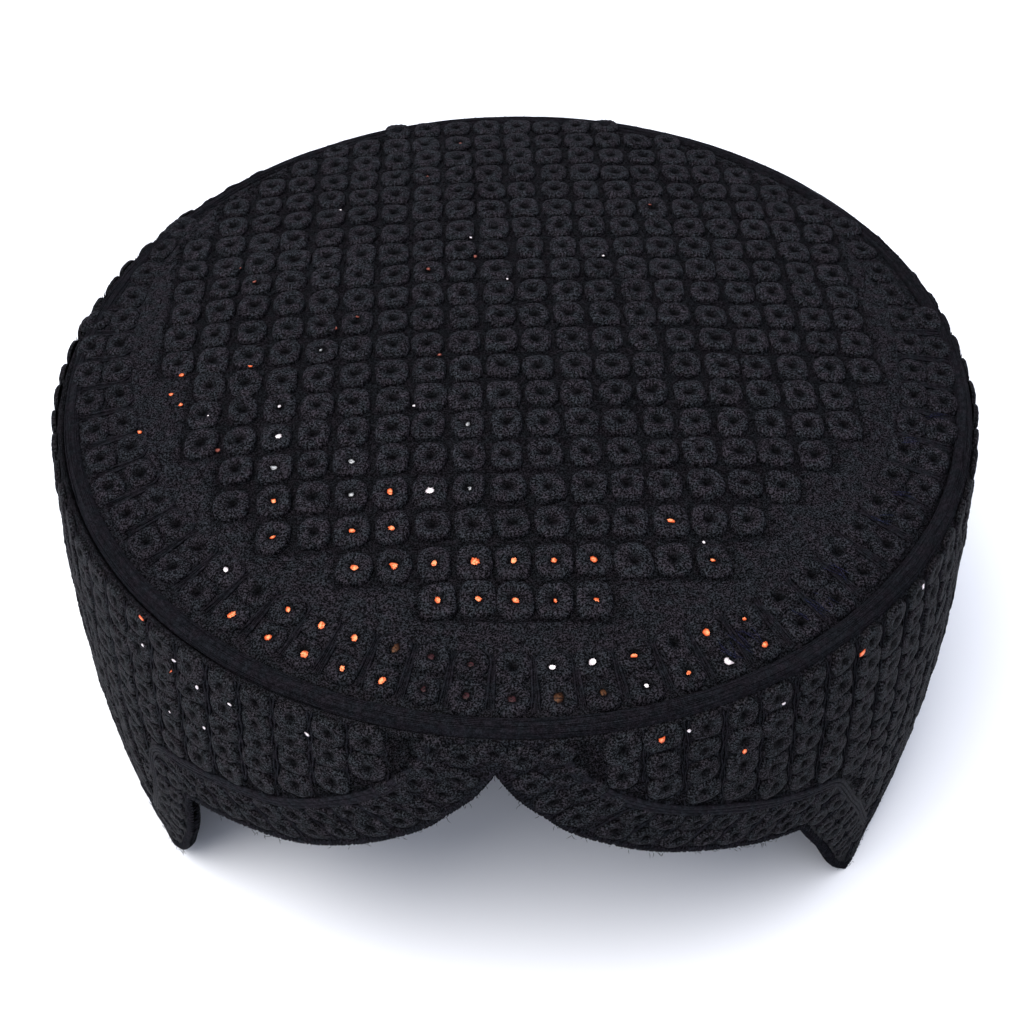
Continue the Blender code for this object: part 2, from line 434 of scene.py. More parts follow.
def field_place(column, row):
    """Where the field's eyelet of a column and row sits, as x and y."""
    front = np.maximum(0.0, SPREAD_ROWS - row) ** 2
    first = np.maximum(0.0, STRAIGHT_ROWS - row) ** 2
    u = (column - MIDDLE_COLUMN) * (FIELD_COLUMN - COLUMN_SQUEEZE * front) + FIELD_SHIFT[0]
    v = (row - MIDDLE_ROW) * FIELD_ROW + FIELD_SHIFT[1] - ROW_SPREAD * front
    return turned(u, v + first * (STRAIGHT_LIFT - STRAIGHT_TILT * u), FIELD_TURN)


def field_places():
    """Where each of the field's eyelets sits."""
    cells = [(c, r) for r, (first, last) in enumerate(FIELD_ROWS) for c in range(first, last + 1)]
    return field_place(*np.array(cells, float).T)


def cell_reach(x, y):
    """How far a point lies from the middle of the field's nearest eyelet: 1 is the edge of its cell."""
    nearest = np.full(np.shape(x), np.inf)
    for place_x, place_y in zip(*field_places()):
        across, along = turned(x - place_x, y - place_y, -FIELD_TURN)
        nearest = np.minimum(nearest, np.maximum(np.abs(across) / FIELD_COLUMN, np.abs(along) / FIELD_ROW))
    return 2.0 * nearest


def make_field_eyelets(material):
    x, y = field_places()
    count = len(x)
    x = x + jitter(0.16 * MM, count)
    y = y + jitter(0.18 * MM, count)
    u, v, w = eyelet_shapes(count, *FIELD_EYELET, EYELET_RISE, CROWN_AROUND)
    u, v = turned(u, v, FIELD_TURN)
    eyelet_piece("field_eyelets", crown_point(deep(x) + u, deep(y) + v, w - EYELET_RISE), material)


def pair_angle(number):
    """Angle of a pair by its number from the middle of the front, where the pairs lie closer."""
    close = np.clip(number, -FRONT_PAIRS, FRONT_PAIRS)
    return FIRST_PAIR + close * FRONT_PAIR_ANGLE + (number - close) * SIDE_PAIR_ANGLE


def pair_angles():
    """Angle of each of the band's pairs."""
    return wrapped(pair_angle(np.arange(-FRONT_PAIRS, FRONT_PAIRS + SIDE_PAIRS + 1)))


def full_pairs():
    """Angle of each pair that shows both its eyelets."""
    angle = pair_angles()
    return angle[band_radius(angle) + BAND_STEP < BAND_LIMIT]


def pair_width(angle):
    """How much room a pair has round the crown."""
    in_front = np.abs(angle - FIRST_PAIR) < FRONT_PAIRS * FRONT_PAIR_ANGLE
    step = np.where(in_front, FRONT_PAIR_ANGLE, SIDE_PAIR_ANGLE)
    return step * arc_rate(angle) * band_radius(angle) / RIM_HALF_WIDTH


def band_points(angle, radius, u, v, w):
    """Places round a point of the band: u runs round the crown and v outwards."""
    turn = np.radians(angle)
    x, y = oval_place(radius + v, angle)
    return crown_point(x + u * np.cos(turn), y + u * np.sin(turn), w)


def band_places():
    """Half width and angle of each eyelet of the band."""
    angle = np.repeat(pair_angles(), 2)
    radius = band_radius(angle) + np.tile([0.0, BAND_STEP], len(angle) // 2)
    shown = radius < BAND_LIMIT
    return radius[shown], angle[shown]


def make_band_eyelets(material):
    radius, angle = band_places()
    count = len(angle)
    angle = angle + jitter(0.12, count)
    radius = radius + jitter(0.15 * MM, count)
    width, height, hole = BAND_EYELET
    half = deep(width * pair_width(angle))
    u, v, w = eyelet_shapes(count, half, height, hole, EYELET_RISE, CROWN_AROUND, corner=2.7)
    eyelet_piece("band_eyelets", band_points(deep(angle), deep(radius), u, v, w - EYELET_RISE), material)


def make_band_outlines(material):
    """A thread round each pair, open towards the piping."""
    angle = full_pairs()[:, None]
    count = len(angle)
    corner = 3.0 * MM
    inner = -3.3 * MM
    outer = BAND_STEP + 2.6 * MM
    u, v = arch(outer, inner + corner, -corner, straight=3, curve=13)
    u = u * 0.45 * pair_width(angle) * (1.0 + jitter(0.02, count, 1))
    u = u + jitter(0.06 * MM, *u.shape)
    v = v + jitter(0.06 * MM, *u.shape)
    paths = band_points(angle, band_radius(angle), u, v, -0.60 * MM)
    tube_piece("band_outlines", paths, material, UP, sides=4)


def make_band_dividers(material):
    """Three long threads between each two pairs."""
    offsets = (-0.24 * MM, 0.0, 0.24 * MM)
    sections = 8
    angle = np.sort(full_pairs())
    between = (angle[1:] + angle[:-1]) / 2
    angle = np.repeat(between, len(offsets))[:, None]
    shift = np.tile(offsets, len(between))[:, None]
    v = np.linspace(-RING_OUTER_STEP, BAND_STEP + 2.8 * MM, sections)
    u = shift * (0.7 + 0.5 * (v + RING_OUTER_STEP) / (BAND_STEP + 6.0 * MM))
    u = u + jitter(0.06 * MM, *u.shape)
    lift = -0.76 * MM + 0.12 * MM * np.sin(np.linspace(0.0, math.pi, sections))
    paths = band_points(angle, band_radius(angle), u, v, lift + jitter(0.04 * MM, *u.shape))
    tube_piece("band_dividers", paths, material, UP)


# Laid threads
def laid_threads(count, sections, length, bow):
    """Short threads in their own flat space: along, across, lift, each (count, sections)."""
    t = np.linspace(-0.5, 0.5, sections)
    size = length * evenly(0.7, 1.3, count, 1)
    curve = jitter(0.10, count, 1) * size
    lift = bow * np.cos(math.pi * t) * evenly(0.6, 1.2, count, 1)
    return t * size, curve * (1.0 - 4.0 * t * t), lift


def make_ring_fill(material):
    """The short stitches that stand out of the ring's fill, beside the field and between the eyelets."""
    angle = evenly(-180.0, 180.0, CROWN_STITCHES)
    radius = (CLOTH_EDGE - 0.6 * MM) * np.sqrt(evenly(0.0, 1.0, CROWN_STITCHES))
    x, y = oval_place(radius, angle)
    reach = cell_reach(x, y)
    clear = reach > 0.93
    for place_x, place_y in zip(*oval_place(*band_places())):
        clear &= np.hypot(x - place_x, y - place_y) > 2.9 * MM
    angle, radius, x, y, reach = [values[clear] for values in (angle, radius, x, y, reach)]
    count = len(angle)
    # Painted shade: the stitches between the field's eyelets and between the band's eyelets are darker, and
    # their tone also differs at random.
    zones = [radius > band_radius(angle) - RING_OUTER_STEP, reach < 1.04]
    depth = np.select(zones, [BAND_DROP, GROUND_DROP], FILL_DROP)[:, None]
    tone_and_shade = np.select(zones, [BAND_SHADE_TONE, GROUND_SHADE_TONE], FILL_SHADE_TONE) * evenly(0.75, 1.0, count)
    along, across, lift = laid_threads(count, 3, FILL_STITCH, 0.26 * MM)
    yaw = np.where(random.random(count) < 0.45, jitter(1.2, count), jitter(0.3, count))
    u, v = turned(along, across, yaw[:, None])
    u, v = turned(u, -v, np.radians(angle)[:, None])
    paths = crown_point(x[:, None] + u, y[:, None] + v, lift - depth - 0.18 * MM)
    tube_piece("ring_fill", paths, material, UP, tone_and_shade=tone_and_shade)


def make_blue_threads(material):
    """Loose strands of dark blue thread left over some pairs of the band."""
    strands = 4
    angle, radius = np.repeat(np.array(BLUE_THREADS), strands, axis=0).T
    count = len(angle)
    along, across, lift = laid_threads(count, 6, 4.6 * MM, 0.30 * MM)
    u, v = turned(along, across, 1.25 + jitter(0.22, count, 1))
    u = u + jitter(0.5 * MM, count, 1)
    v = v + jitter(0.4 * MM, count, 1)
    paths = band_points(angle[:, None], radius[:, None] * MM, u, v, lift - 0.25 * MM)
    tube_piece("blue_threads", paths, material, UP)


def make_piping(material):
    """The corded seam as one round cord with soft ridges along it."""
    angle = circle(240, -180.0, 360.0)
    turns = circle(32, 0.0, 360.0).T
    ridges = 0.07 * MM * np.cos(8 * np.radians(turns))
    points = piping_point(angle, turns, ridges - 0.05 * MM)
    points = np.concatenate([points, points[:, :1]], axis=1)
    piece = grid_piece("piping_cord", points[None], material)
    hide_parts("crown_piping")


def make_piping_threads(material):
    """Fine threads that run along the piping."""
    count = 640
    sections = 7
    angle = evenly(-180.0, 180.0, count, 1)
    start = evenly(-62.0, 150.0, count, 1)
    length = evenly(9.0, 22.0, count, 1)
    t = np.linspace(-0.5, 0.5, sections)
    angle = angle + t * length
    turn = start + t * jitter(14.0, count, 1) + jitter(1.0, count, sections)
    lift = -0.03 * MM + 0.07 * MM * np.cos(math.pi * t) * evenly(0.4, 1.3, count, 1)
    paths = piping_point(angle, turn, lift)
    outward = piping_point(angle, turn, 2.0 * MM) - paths
    tube_piece("piping_threads", paths, material, outward)


# Cloths
def smooth_step(distance, width):
    """0 up to a line, 1 beyond its width, and smooth between."""
    share = np.clip(distance / width, 0.0, 1.0)
    return share * share * (3.0 - 2.0 * share)


def blend_zones(shape, level, tone, zones):
    """Level and tone over a cloth: those of its ground, led over into each zone's by the zone's share."""
    levels = np.full(shape, level)
    tones = np.full(shape, tone)
    for share, level, tone in zones:
        levels = levels + (level - levels) * share
        tones = tones + (tone - tones) * share
    return levels, tones


def make_crown_cloth(material):
    """The crown's cloth, worked above and plain below, as one closed shell."""
    angle = circle(288, -180.0, 360.0)
    inner = np.minimum(band_radius(angle) - RING_INNER_STEP, CLOTH_EDGE - 3.0 * MM)
    outer = np.minimum(band_radius(angle) - RING_OUTER_STEP, CLOTH_EDGE - 2.0 * MM)
    field = inner * np.linspace(0.01, 0.99, 52)
    ring = inner + (outer - inner) * np.linspace(0.0, 1.0, 14)
    edge = outer + (CLOTH_EDGE - outer) * np.linspace(0.08, 1.0, 10)
    under = CLOTH_EDGE * np.linspace(1.0, 0.01, 8) + 0.0 * angle
    radius = np.concatenate([field, ring, edge, under], axis=1)
    x, y = oval_place(radius, angle)
    ridge = 0.10 * MM * np.cos(TURN * (outer - radius) / (2.5 * MM)) * (radius > inner)
    # The zones' tones are painted shade: darkest between the field's eyelets, then the groove beside the
    # piping, then between the band's eyelets; the fill keeps its full tone.
    zones = (
        (smooth_step(cell_reach(x, y) - 1.0, 0.2), FILL_DROP, FILL_SHADE_TONE),
        (smooth_step(radius - outer, 0.7 * MM), BAND_DROP, BAND_SHADE_TONE),
        (smooth_step(radius - CLOTH_EDGE + 1.0 * MM, 1.0 * MM), GROOVE_DROP, GROOVE_SHADE_TONE),
    )
    drop, tone_and_shade = blend_zones(radius.shape, GROUND_DROP, GROUND_SHADE_TONE, zones)
    drop = drop - ridge * tone_and_shade
    drop[:, -under.shape[1]:] = CROWN_THICKNESS
    points = crown_point(x, y, -drop)
    piece = grid_piece("crown_cloth", points[None], material, tone_and_shade=tone_and_shade[None])
    work = bmesh.new()
    work.from_mesh(piece.data)
    bmesh.ops.holes_fill(work, edges=[e for e in work.edges if e.is_boundary], sides=0)
    work.to_mesh(piece.data)
    work.free()
    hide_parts("crown")


def make_wall_cloth(material):
    """The side wall's cloth: a shell with its outer face a little below the eyelets."""
    angle = circle(6 * WALL_COLUMNS, CUSP_ANGLE - 180.0, 360.0)
    top = SEAM_HEIGHT - 0.1 * MM
    foot = line_height(0.5 * MM, angle)
    height = foot + (top - foot) * np.linspace(0.0, 1.0, 34)
    beside_piping = -0.9 * MM - 0.8 * SHOULDER * np.sin(np.radians(angle)) ** 2
    groove = (height - cord_height(CORD_GROOVE, angle)) / (0.55 * MM)
    # Painted shade in the tones: darkest in the groove over the border's cords, darker between the columns
    # and between the border's eyelets, a little darker beside the piping. The inner face is given half tone.
    zones = (
        (smooth_step(column_foot(angle) - height, 0.5 * MM), WALL_FILL, 1.0),
        (np.exp(-groove ** 2), -1.05 * MM, 0.16),
        (smooth_step(cord_height(BORDER_CORDS[0], angle) - height, 0.6 * MM), BORDER_GROUND, 0.62),
        (smooth_step(height - SEAM_HEIGHT + 1.0 * MM, 1.0 * MM), beside_piping, 0.75),
    )
    lift, tone_and_shade = blend_zones(height.shape, WALL_GROUND, 0.60, zones)
    outer = wall_point(angle, height, lift)
    behind = height[:, ::-3]
    inner = wall_point(angle, np.minimum(behind, top - 1.5 * MM), -WALL_THICKNESS)
    points = np.concatenate([outer, inner, outer[:, :1]], axis=1)
    tone_and_shade = np.concatenate([tone_and_shade, np.full(behind.shape, 0.5), tone_and_shade[:, :1]], axis=1)
    piece = grid_piece("wall_cloth", points[None], material, tone_and_shade=tone_and_shade[None])
    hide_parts("side_wall")


# Side wall
def wall_columns():
    """Angle and foot of the eyelets of each column that has room for one or more."""
    found = []
    for k in range(WALL_COLUMNS):
        angle = (k - WALL_COLUMNS // 2) * COLUMN_ANGLE - COLUMN_SHIFT
        beside = [angle - COLUMN_ANGLE * 0.36, angle, angle + COLUMN_ANGLE * 0.36]
        foot = float(np.max(cord_height(BORDER_CORDS[-1] + 0.6 * MM, beside)))
        if COLUMN_HEAD - foot > 0.9 * WALL_ROW:
            found.append((angle, foot))
    return found


def column_foot(angle):
    """Height of the nearest column's foot, or of the seam where there is no column."""
    feet = np.full(WALL_COLUMNS, SEAM_HEIGHT)
    for place, foot in wall_columns():
        feet[round((place + COLUMN_SHIFT) / COLUMN_ANGLE) % WALL_COLUMNS] = foot
    return feet[np.rint((angle + COLUMN_SHIFT) / COLUMN_ANGLE).astype(int) % WALL_COLUMNS]


def make_wall_eyelets(material):
    """The columns of eyelets, in a left and a right piece."""
    width, share, hole = WALL_EYELET
    for side, name in ((-1, "wall_eyelets_left"), (1, "wall_eyelets_right")):
        places = []
        for angle, foot in wall_columns():
            if angle * side < 0:
                continue
            rows = max(1, round((COLUMN_HEAD - foot) / WALL_ROW))
            pitch = (COLUMN_HEAD - foot) / rows
            places += [(angle, COLUMN_HEAD - (row + 0.5) * pitch, pitch) for row in range(rows)]
        angle, height, pitch = np.array(places).T
        count = len(places)
        angle = angle + jitter(0.17, count)
        height = height + jitter(0.20 * MM, count)
        u, v, w = eyelet_shapes(count, width, deep(pitch * share), hole, WALL_RISE, WALL_AROUND)
        eyelet_piece(name, wall_patch(deep(angle), deep(height), u, v, w - WALL_RISE), material)


def make_column_cords(material):
    """A thread down each of the two sides of each column."""
    angle, foot = np.array(wall_columns()).T[:, :, None]
    height = foot + (COLUMN_HEAD - foot) * np.linspace(0.0, 1.0, 40)
    wave = 0.16 * MM * np.cos(TURN * (COLUMN_HEAD - height) / WALL_ROW)
    paths = []
    for side in (-1.0, 1.0):
        shift = side * (3.34 * MM - wave) + jitter(0.04 * MM, *height.shape)
        paths.append(wall_patch(angle, height, shift, 0.0, -0.56 * MM))
    tube_piece("column_cords", np.concatenate(paths), material)


def make_wall_fill(material):
    """Short stitches in the fill beside the cusp and under the columns."""
    angle = evenly(-66.0, 66.0, WALL_STITCHES)
    low = cord_height(CORD_GROOVE, angle) + 0.5 * MM
    height = low + (SEAM_HEIGHT - 0.9 * MM - low) * evenly(0.0, 1.0, WALL_STITCHES)
    clear = (height > low) & (height < column_foot(angle) - 0.2 * MM)
    angle, height = angle[clear][:, None], height[clear][:, None]
    along, across, lift = laid_threads(len(angle), 3, FILL_STITCH, 0.24 * MM)
    u, v = turned(along, across, jitter(0.9, *angle.shape))
    paths = wall_patch(angle, height, u, v, lift + WALL_FILL - 0.16 * MM)
    tube_piece("wall_fill", paths, material, tone_and_shade=evenly(0.6, 1.0, len(angle)))


# Border
def border_path(height, step, ends_at_seam=False):
    """Evenly spaced places on a line round the wall, given by its height at ANGLES: angle, height and the
    line's direction as its shares along the wall and upwards."""
    angle = ANGLES
    if ends_at_seam:
        order = np.roll(np.arange(len(angle) - 1), -(len(angle) // 2))
        order = order[height[order] < SEAM_HEIGHT - 1.2 * MM]
        angle, height = angle[order] % 360.0, height[order]
    across = np.cumsum(np.concatenate([[0.0], np.diff(angle) * arc_rate(angle[1:])]))
    along = np.concatenate([[0.0], np.cumsum(np.hypot(np.diff(across), np.diff(height)))])
    count = int(round(along[-1] / step)) + int(ends_at_seam)
    places = np.linspace(0.0, along[-1], count, endpoint=ends_at_seam)
    behind, ahead = places - 0.6 * MM, places + 0.6 * MM
    run = np.interp(ahead, along, across) - np.interp(behind, along, across)
    rise = np.interp(ahead, along, height) - np.interp(behind, along, height)
    size = np.hypot(run, rise)
    return np.interp(places, along, angle), np.interp(places, along, height), run / size, rise / size


def beside_path(places, u, v, slant=0.0):
    """Angle and height of points beside the places of a path: u runs along it and v away from it, leaning
    with the slant."""
    angle, height, run, rise = [values.reshape((-1,) + (1,) * (u.ndim - 1)) for values in places]
    u = u + slant * np.tanh(angle / 5.0) * v
    return angle + (u * run - v * rise) / arc_rate(angle), height + (u * rise + v * run)


def border_pairs():
    """Places and directions of the border's pairs, on the line between its two rows."""
    return border_path(line_height((BORDER_OUTER + BORDER_INNER) / 2, ANGLES), BORDER_PITCH)


BORDER_SLANT = 0.45
# The eyelets round the cusp: angle from the front, height in mm
CUSP_EYELETS = (
    (-0.9, 81.3), (-3.9, 80.4), (-7.0, 81.3), (-4.4, 74.8), (-7.3, 76.6), (-8.9, 73.2), (-5.9, 71.2),
    (-11.1, 69.4), (-8.2, 66.4), (2.2, 80.3), (5.8, 81.0), (3.2, 74.3), (6.9, 75.8), (8.9, 71.9), (5.4, 69.7),
    (7.9, 65.6), (11.0, 67.5),
)
CUSP_CLEAR = 4.9 * MM  # the other eyelets of the border keep this far from them


def clear_of_cusp(points):
    cusp = np.array(CUSP_EYELETS)
    taken = wall_point(cusp[:, 0], cusp[:, 1] * MM, 0.0)
    return np.min(np.linalg.norm(points[:, None] - taken[None], axis=-1), axis=1) > CUSP_CLEAR


def border_patch(places, u, v, w):
    """Points round each pair: u runs along the border and v away from the edge."""
    return wall_point(*beside_path(places, u, v, BORDER_SLANT), w)


def make_border_eyelets(material):
    places = border_pairs()
    half = (BORDER_INNER - BORDER_OUTER) / 2
    offset = np.tile([-half, half], len(places[0]))
    paired = [np.repeat(values, 2) for values in places]
    clear = clear_of_cusp(border_patch(paired, 0.0 * offset, offset, 0.0))
    angle, height = np.array(CUSP_EYELETS).T
    line = [line_height(half + BORDER_OUTER, angle + side) for side in (-0.6, 0.6)]
    slope = 0.5 * np.arctan2(line[1] - line[0], 1.2 * arc_rate(angle))
    cusp = (angle, height * MM, np.cos(slope), np.sin(slope))
    paired = [np.concatenate([values[clear], more]) for values, more in zip(paired, cusp)]
    offset = np.concatenate([offset[clear], 0.0 * angle])
    width, tall, hole = BORDER_EYELET
    tall = deep(np.where(np.arange(len(offset)) < np.sum(clear), tall, CUSP_EYELET_HEIGHT))
    u, v, w = eyelet_shapes(len(offset), width, tall, hole, WALL_RISE, BORDER_AROUND, corner=2.4)
    eyelet_piece("border_eyelets", border_patch(paired, u, v + deep(offset), w - WALL_RISE), material)


def make_border_outlines(material):
    """A thread round each pair, open towards the edge."""
    places = border_pairs()
    clear = clear_of_cusp(border_patch(places, 0.0 * places[0], 0.0 * places[0], 0.0))
    places = [values[clear] for values in places]
    high = (BORDER_INNER - BORDER_OUTER) / 2 + 2.0 * MM
    u, v = arch(-high, high - 2.2 * MM, 2.4 * MM, straight=4, curve=9)
    shape = (len(places[0]), len(u))
    u = 3.1 * MM * u + jitter(0.05 * MM, *shape)
    v = v + jitter(0.05 * MM, *shape)
    paths = border_patch(places, u, v, -0.53 * MM)
    tube_piece("border_outlines", paths, material, sides=4)


def make_border_cords(material):
    """The laid cords that mark off the border, side by side. They end under the piping beside the cusp."""
    bends = 201
    share = np.linspace(0.0, 1.0, 640)
    paths = []
    for distance in BORDER_CORDS:
        angle, height, _, _ = border_path(cord_height(distance, ANGLES), 0.6 * MM, ends_at_seam=True)
        given = np.linspace(0.0, 1.0, len(angle))
        wobble = np.interp(share, np.linspace(0.0, 1.0, bends), jitter(0.12 * MM, bends))
        height = np.interp(share, given, height) + wobble
        paths.append(wall_point(np.interp(share, given, angle), height, -0.50 * MM))
    piece = tube_piece("border_cords", np.stack(paths), material, sides=7)
    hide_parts("border_cord")


# The bound edge's section, from its inside foot round the outside: share of the way up, lift in mm
BINDING_SECTION = (
    (0.00, -2.85), (0.00, -1.90), (0.04, -1.00), (0.22, -0.42), (0.50, -0.30), (0.80, -0.48), (1.00, -1.00),
    (1.05, -1.60), (1.05, -2.40), (0.90, -3.00), (0.30, -3.05), (0.00, -2.85),
)
# The path of a stitch over it: share of the stitch, share of the way up, lift in mm
STITCH_SECTION = (
    (0.0, -0.07, -2.75), (0.33, -0.08, -1.00), (0.50, 0.08, -0.46), (0.75, 0.62, -0.30), (1.0, 1.12, -0.95),
)


def make_edge_binding(material):
    """The bound edge, rounded outside and flat underneath."""
    angle = circle(8 * WALL_COLUMNS, CUSP_ANGLE - 180.0, 360.0)
    low = line_height(0.0001 * MM, angle)
    high = line_height(BINDING_WIDTH, angle)
    share, lift = np.array(BINDING_SECTION).T[:, None, :]
    points = wall_point(angle, low + (high - low) * share, lift * MM)
    piece = grid_piece("binding_roll", points[None], material)
    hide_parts("edge_binding")


def make_binding_stitches(material):
    """Overcast stitches that wrap the bound edge."""
    places = border_path(line_height(0.001 * MM, ANGLES), STITCH_STEP)
    count = len(places[0])
    reach = np.linspace(0.0, 1.0, 7)
    marks, up, lift = np.array(STITCH_SECTION).T
    lean = (0.22 + jitter(0.16, count, 1)) * BINDING_WIDTH
    v = BINDING_WIDTH * np.interp(reach, marks, up) * evenly(0.85, 1.20, count, 1)
    u = lean * (reach - 0.5) + jitter(0.16 * MM, count, 1)
    angle, height = beside_path(places, u, v)
    paths = wall_point(angle, np.maximum(height, 0.2 * MM), np.interp(reach, marks, lift) * MM)
    tube_piece("binding_stitches", paths, material)


def make_loose_fibres(material):
    """Fine hairs of cotton that stand off the piping, the wall and the lower edge."""
    t = np.linspace(0.0, 1.0, 4)

    def spread(count):
        length = evenly(0.4 * MM, 1.5 * MM, count, 1) * t
        way = evenly(0.0, TURN, count, 1) + jitter(0.7, count, 1) * t
        rise = evenly(0.10 * MM, 0.65 * MM, count, 1) * t
        return evenly(-180.0, 180.0, count, 1), length * np.cos(way), length * np.sin(way), rise

    angle, u, v, rise = spread(1100)
    low = line_height(0.2 * MM, angle)
    share = np.where(random.random(angle.shape) < 0.45, 0.0, evenly(0.0, 1.0, *angle.shape))
    height = np.maximum(low + (SEAM_HEIGHT - low) * share + v, 0.15 * MM)
    on_wall = wall_patch(angle, height, u, 0.0, rise - 0.30 * MM * (share > 0.0) - 0.2 * MM)
    angle, u, v, rise = spread(500)
    turn = evenly(-40.0, 120.0, *angle.shape) + np.degrees(v / CORD_RADIUS)
    on_piping = piping_point(angle + u / arc_rate(angle), turn, rise - 0.05 * MM)
    tube_piece("loose_fibres", np.concatenate([on_wall, on_piping]), material)


# Mirror chips
# Chips in the field's eyelets: colour, size, then column and row of each
FIELD_CHIPS = (
    ("copper", 1.0, (
        (-2, 0), (-1, 0), (0, 0), (2, 0), (-4, 1), (-3, 1), (-2, 1), (-1, 1), (0, 1), (-3, 2), (4, 2),
        (-6, 3),
    )),
    ("copper", 0.6, ((1, 0), (1, 1), (2, 1), (5, 1), (-3, 3), (-6, 2), (-4, 2))),
    ("silver", 0.9, ((-6, 5), (-2, 3))),
    ("pewter", 0.8, ((-4, 4), (-6, 4))),
    ("pewter", 0.5, ((-5, 8), (-4, 3), (-1, 3), (-1, 5))),
)
# Chips in the band: colour, size, then pair and row, 0 for the inner one
BAND_CHIPS = (
    ("copper", 1.0, ((-7, 1), (-6, 0), (-5, 0), (-5, 1), (-4, 0), (-4, 1), (-3, 1), (3, 0), (4, 1), (5, 0))),
    ("copper", 0.7, ((-6, 1), (6, 0), (6, 1))),
    ("silver", 1.0, ((1, 0), (2, 0), (3, 1))),
    ("silver", 0.7, ((-8, 0), (5, 1))),
    ("bronze", 1.0, ((-3, 0), (1, 1), (2, 1))),
    ("garnet", 1.0, ((-2, 0), (-2, 1), (-1, 0), (-1, 1), (0, 1))),
)
# Scraps of foil caught between the eyelets of the field: colour, size, then column and row of each
FIELD_SCRAPS = (
    ("copper", 0.42, (
        (-6.9, 7.6), (-9.7, 5.6), (-5.8, 4.8), (-8.8, 7.5), (-5.9, 6.7), (-8.7, 6.4), (-9.0, 6.8),
    )),
    ("silver", 0.24, (
        (-5.1, 14.6), (-4.7, 14.3), (-6.0, 6.0), (-7.9, 5.9), (4.8, 1.4), (-2.4, 5.7), (0.3, 10.5),
        (-0.7, 12.5), (3.2, 11.5), (2.6, 0.9),
    )),
    ("rust", 0.40, (
        (4.9, 14.1), (-7.6, 11.8), (-7.1, 11.1), (-6.9, 9.7), (-4.6, 8.8), (-1.7, 7.5), (-7.5, 4.7),
        (-2.0, 15.9), (-0.9, 17.9), (-2.0, 11.1), (-4.0, 9.2), (-0.6, 11.6),
    )),
)
# Scraps of foil on the wall: colour, size, then angle and height in mm of each
WALL_SCRAPS = (
    ("copper", 0.50, ((16.5, 81.3), (26.0, 72.1), (41.7, 80.0), (-43.0, 84.0), (-38.6, 76.8))),
    ("silver", 0.34, (
        (30.6, 79.7), (19.4, 81.7), (-39.6, 64.6), (-53.8, 82.0), (-20.4, 78.7), (-43.3, 77.1), (-37.8, 80.0),
        (53.0, 82.0), (-30.0, 77.8), (-34.0, 67.5), (-34.5, 77.2),
    )),
)
CHIP_SIZE = 1.15 * MM
CHIP_DEPTH = -0.52 * MM  # below the smooth dome over the eyelets
SCRAP_DEPTH = -0.25 * MM
# Tone and glow of each colour. The tones are partly the foil's own colour and partly painted reflection, the
# dim ones as if they mirrored the dark cap. The glow is a painted reflection of the studio's light, given off
# by the foil.
CHIP_COLOURS = {
    "copper": ((0.95, 0.29, 0.13), 0.28),
    "silver": ((0.82, 0.77, 0.81), 0.38),
    "pewter": ((0.40, 0.41, 0.43), 0.05),
    "bronze": ((0.075, 0.030, 0.012), 0.0),
    "garnet": ((0.033, 0.009, 0.012), 0.0),
    "rust": ((0.30, 0.10, 0.075), 0.02),
}


def chip_shapes(size):
    """Small uneven mirror chips in flat space: across, along and up, each (count, corners, rows)."""
    corners = 7
    count = len(size)
    turns = circle(corners)
    reach = deep(size) * (1.0 + jitter(0.22, count, corners, 1))
    share = np.array([0.02, 1.0, 1.0, 0.02])
    level = np.array([-0.10, -0.10, 0.0, 0.0]) * MM
    u = reach * share * np.cos(turns)
    v = reach * share * np.sin(turns) * (1.0 + jitter(0.18, count, 1, 1))
    tilt = jitter(0.10, 2, count, 1, 1)
    return u, v, level + tilt[0] * u + tilt[1] * v


def chip_rows(table, colour):
    """The places and sizes of one colour's chips in a table."""
    rows = [(*place, size * CHIP_SIZE) for name, size, places in table if name == colour for place in places]
    return np.array(rows, float).reshape(-1, 3).T


def make_chips(materials):
    """The mirror chips and scraps of foil, one piece for each colour."""
    for colour in CHIP_COLOURS:
        found = []
        for table, depth in ((FIELD_CHIPS, CHIP_DEPTH), (FIELD_SCRAPS, SCRAP_DEPTH)):
            column, row, size = chip_rows(table, colour)
            x, y = field_place(column, row)
            u, v, w = chip_shapes(size)
            found.append(crown_point(deep(x) + u, deep(y) + v, w + depth))
        number, row, size = chip_rows(BAND_CHIPS, colour)
        angle = deep(pair_angle(number))
        u, v, w = chip_shapes(size)
        found.append(band_points(angle, band_radius(angle) + BAND_STEP * deep(row), u, v, w + CHIP_DEPTH))
        angle, height, size = chip_rows(WALL_SCRAPS, colour)
        u, v, w = chip_shapes(size)
        found.append(wall_patch(deep(angle), deep(height) * MM, u, v, w + 0.05 * MM))
        grid_piece("mirror_chips_" + colour, np.concatenate(found), materials[colour])


